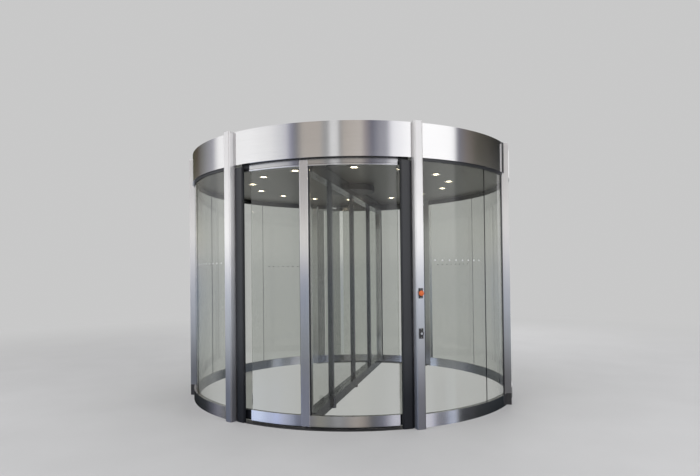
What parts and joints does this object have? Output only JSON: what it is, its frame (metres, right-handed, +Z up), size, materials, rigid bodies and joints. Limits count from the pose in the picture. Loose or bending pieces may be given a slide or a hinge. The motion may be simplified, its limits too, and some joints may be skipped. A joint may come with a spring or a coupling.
{
  "type": "revolving door",
  "caption": "Automatic revolving door with curved glass walls under a steel canopy, and a turning rotor whose flat glass wing carries a curved glass end in each opening.",
  "frame": {"origin": "on the floor at the axis of the drum, which is the rotor's axis", "axes": "+Z up along the axis of rotation, -Y out to the street through the front opening, +X to the right seen from the street"},
  "size_m": [3.9, 3.8996, 2.865],
  "materials": {
    "satin_steel": "satin ground stainless steel sheet with a fine horizontal grain",
    "dark_steel": "dark satin metal",
    "rubber": "matt black rubber and brush",
    "clear_glass": "clear float glass with a faint green tint",
    "ceiling_board": "light grey satin ceiling panel",
    "light_lens": "warm white diffuser in a pale rim",
    "signal_red": "orange red plastic"
  },
  "bodies": {
    "drum": {"front_threshold": "dark_steel", "rear_threshold": "dark_steel", "front_left_post": "satin_steel", "front_right_post": "satin_steel", "rear_left_post": "satin_steel", "rear_right_post": "satin_steel", "front_safety_strips": "rubber", "rear_safety_strips": "rubber", "left_wall_glass": "clear_glass", "right_wall_glass": "clear_glass", "left_plinth": "satin_steel", "right_plinth": "satin_steel", "left_head_rail": "rubber", "right_head_rail": "rubber", "wall_joint_seals": "rubber", "front_canopy": "satin_steel", "rear_canopy": "satin_steel", "left_canopy": "satin_steel", "right_canopy": "satin_steel", "canopy_flanges": "dark_steel", "canopy_roof": "dark_steel", "ceiling": "ceiling_board", "downlights": "light_lens", "floor_bearing": "dark_steel", "top_bearing": "dark_steel", "control_plates": "dark_steel", "emergency_button": "signal_red", "key_switch": "dark_steel", "key_barrel": "satin_steel", "left_jamb": "satin_steel", "right_jamb": "satin_steel", "jamb_feet": "dark_steel", "facade_gaskets": "rubber"},
    "rotor": {"centre_mullion": "satin_steel", "wing_head_rail": "satin_steel", "wing_foot_rail": "satin_steel", "hub_cover": "dark_steel", "top_spindle": "dark_steel", "inner_stiles": "satin_steel", "front_end_stile": "satin_steel", "rear_end_stile": "satin_steel", "wing_glass": "clear_glass", "foot_locks": "satin_steel", "front_curved_glass": "clear_glass", "rear_curved_glass": "clear_glass", "front_top_rail": "satin_steel", "rear_top_rail": "satin_steel", "front_bottom_rail": "satin_steel", "rear_bottom_rail": "satin_steel", "rail_end_caps": "rubber", "floor_brushes": "rubber"}
  },
  "joints": [
    {"name": "rotor_turn", "type": "hinge", "parent": "drum", "child": "rotor", "pos_m": [0, 0, 0], "axis": [0, 0, 1], "continuous": true}
  ]
}
